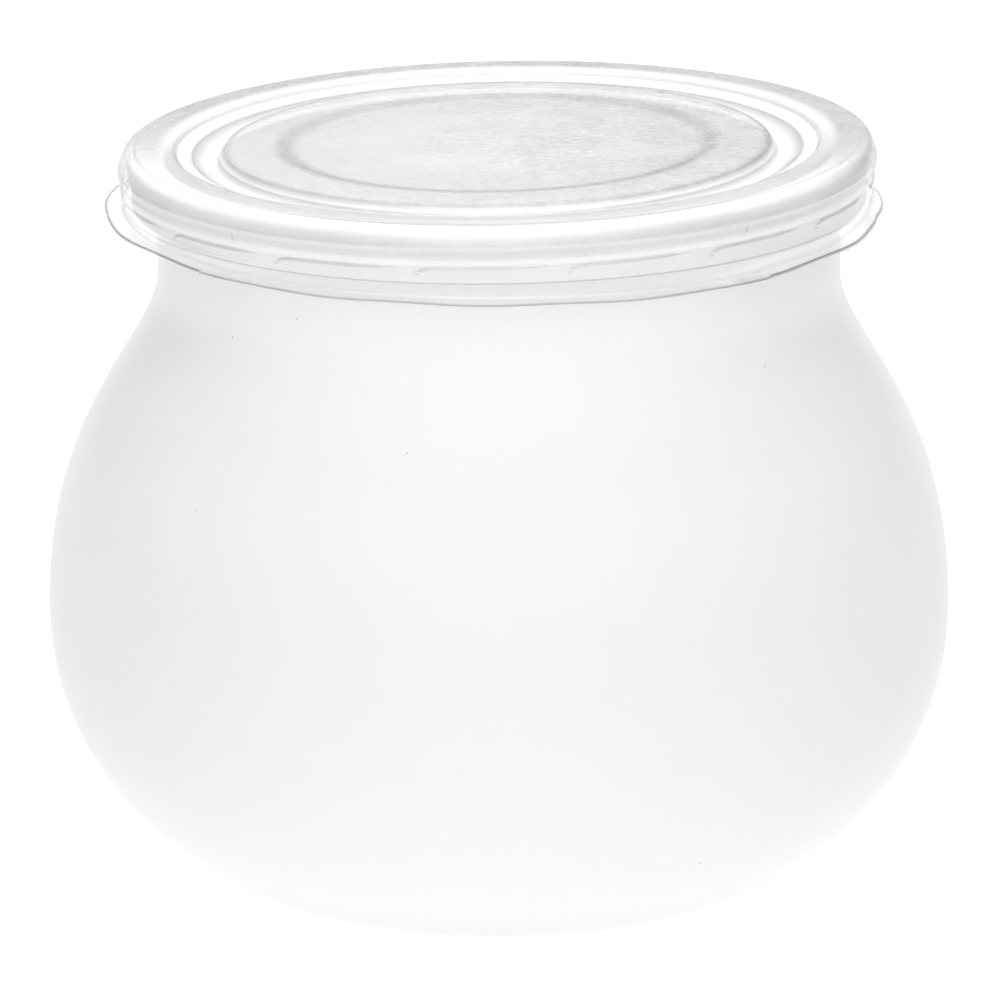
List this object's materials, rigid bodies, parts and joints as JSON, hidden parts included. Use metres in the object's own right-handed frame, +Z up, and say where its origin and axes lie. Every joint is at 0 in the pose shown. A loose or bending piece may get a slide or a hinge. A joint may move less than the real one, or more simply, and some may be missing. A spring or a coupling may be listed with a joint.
{
  "type": "plastic candy jar",
  "caption": "Squat pot-bellied jar of frosted plastic, closed by a flat clear press-on lid with a beaded rim, lugs on its skirt and pull tabs; empty, for holding sweets.",
  "frame": {"origin": "middle of the bottom of the foot ring, on the surface that the jar stands on", "axes": "+Z up along the jar's axis, out through the mouth; the lid's pull tabs point along +X and -X"},
  "size_m": [0.102, 0.102, 0.0848],
  "materials": {
    "frosted_plastic": "milky translucent moulded plastic with a fine satin face",
    "clear_plastic": "clear formed sheet, glossy, lightly scuffed on the panel"
  },
  "bodies": {
    "root": {"jar": "frosted_plastic", "lid": "clear_plastic"}
  },
  "joints": []
}
